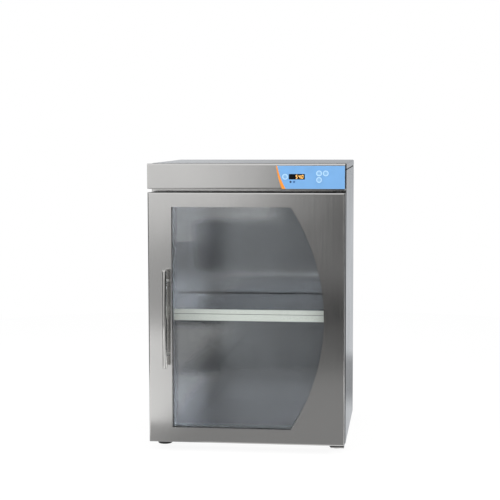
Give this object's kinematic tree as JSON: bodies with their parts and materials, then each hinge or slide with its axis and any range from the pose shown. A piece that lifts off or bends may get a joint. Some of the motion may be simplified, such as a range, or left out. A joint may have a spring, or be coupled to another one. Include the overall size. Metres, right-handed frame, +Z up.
{
  "type": "blanket warming cabinet",
  "caption": "Stainless blanket warming cabinet with a hinged window door, bar handle, lift-out shelf and a control header with display and keys.",
  "frame": {"origin": "on the floor, midway across the cabinet and midway between the handle's front and the inlet's rim", "axes": "+Z up, front faces -Y, +X to the right of someone who faces the door"},
  "size_m": [0.514, 0.5385, 0.757],
  "materials": {
    "stainless": "satin",
    "liner_steel": "satin",
    "polished_steel": "polished",
    "zinc_steel": "satin",
    "spacer_metal": "satin",
    "window_glass": "gloss",
    "black_plastic": "matte",
    "bush_plastic": "satin",
    "supply_case": "satin",
    "gasket_rubber": "matte",
    "foot_rubber": "matte",
    "cable_rubber": "matte",
    "mineral_wool": "matte",
    "shelf_cream": "satin",
    "blue_film": "satin",
    "orange_film": "satin",
    "key_film": "satin",
    "display_lens": "gloss",
    "lamp_lens": "gloss",
    "board_green": "satin"
  },
  "bodies": {
    "case": {"header_shell": "stainless", "side_panel_left": "stainless", "side_panel_right": "stainless", "top_cover": "stainless", "rear_cover": "stainless", "base_pan": "stainless", "front_frame": "stainless", "hinge_plate_top": "stainless", "hinge_plate_bottom": "stainless", "chamber_liner": "liner_steel", "shelf_support_left": "liner_steel", "shelf_support_right": "liner_steel", "sensor_clip": "liner_steel", "air_sensor": "liner_steel", "hinge_pins": "polished_steel", "bay_floor": "zinc_steel", "hinge_screws": "zinc_steel", "foot_screws": "zinc_steel", "rear_cover_screws": "zinc_steel", "inlet_screws": "zinc_steel", "board_standoffs": "zinc_steel", "header_frame": "black_plastic", "power_inlet": "black_plastic", "terminal_block": "black_plastic", "heater_relay": "black_plastic", "key_switches": "black_plastic", "display_module": "black_plastic", "limit_thermostat": "black_plastic", "power_supply": "supply_case", "foot_front_left": "foot_rubber", "foot_front_right": "foot_rubber", "foot_rear_left": "foot_rubber", "foot_rear_right": "foot_rubber", "heating_cables": "cable_rubber", "inlet_leads": "cable_rubber", "chamber_insulation": "mineral_wool", "control_overlay": "blue_film", "overlay_stripe": "orange_film", "display_window": "display_lens", "indicator_lamps": "lamp_lens", "control_board": "board_green"},
    "door": {"door_skin": "stainless", "door_core_frame": "black_plastic", "door_edge_plug": "black_plastic", "window_glass_outer": "window_glass", "window_glass_inner": "window_glass", "window_spacer": "spacer_metal", "door_insulation": "mineral_wool", "door_inner_pan": "stainless", "door_gasket": "gasket_rubber", "handle_bar": "polished_steel", "handle_standoffs": "polished_steel", "handle_screws": "zinc_steel", "hinge_bushes": "bush_plastic"},
    "shelf": {"shelf": "liner_steel", "shelf_front_rail": "shelf_cream"},
    "key_power": {"key_power": "key_film"},
    "key_up": {"key_up": "key_film"},
    "key_down": {"key_down": "key_film"},
    "key_set": {"key_set": "key_film"}
  },
  "joints": [
    {"name": "door_hinge", "type": "hinge", "parent": "case", "child": "door", "pos_m": [0.238, -0.21375, 0], "axis": [0, 0, 1], "range_deg": [0, 120]},
    {"name": "shelf_lift", "type": "slide", "parent": "case", "child": "shelf", "axis": [0, 0, 1], "range_m": [0, 0.04]},
    {"name": "key_power_press", "type": "slide", "parent": "case", "child": "key_power", "axis": [0, 1, 0], "range_m": [0, 0.0005], "stiffness_N_per_m": 1500},
    {"name": "key_up_press", "type": "slide", "parent": "case", "child": "key_up", "axis": [0, 1, 0], "range_m": [0, 0.0005], "stiffness_N_per_m": 1500},
    {"name": "key_down_press", "type": "slide", "parent": "case", "child": "key_down", "axis": [0, 1, 0], "range_m": [0, 0.0005], "stiffness_N_per_m": 1500},
    {"name": "key_set_press", "type": "slide", "parent": "case", "child": "key_set", "axis": [0, 1, 0], "range_m": [0, 0.0005], "stiffness_N_per_m": 1500}
  ]
}
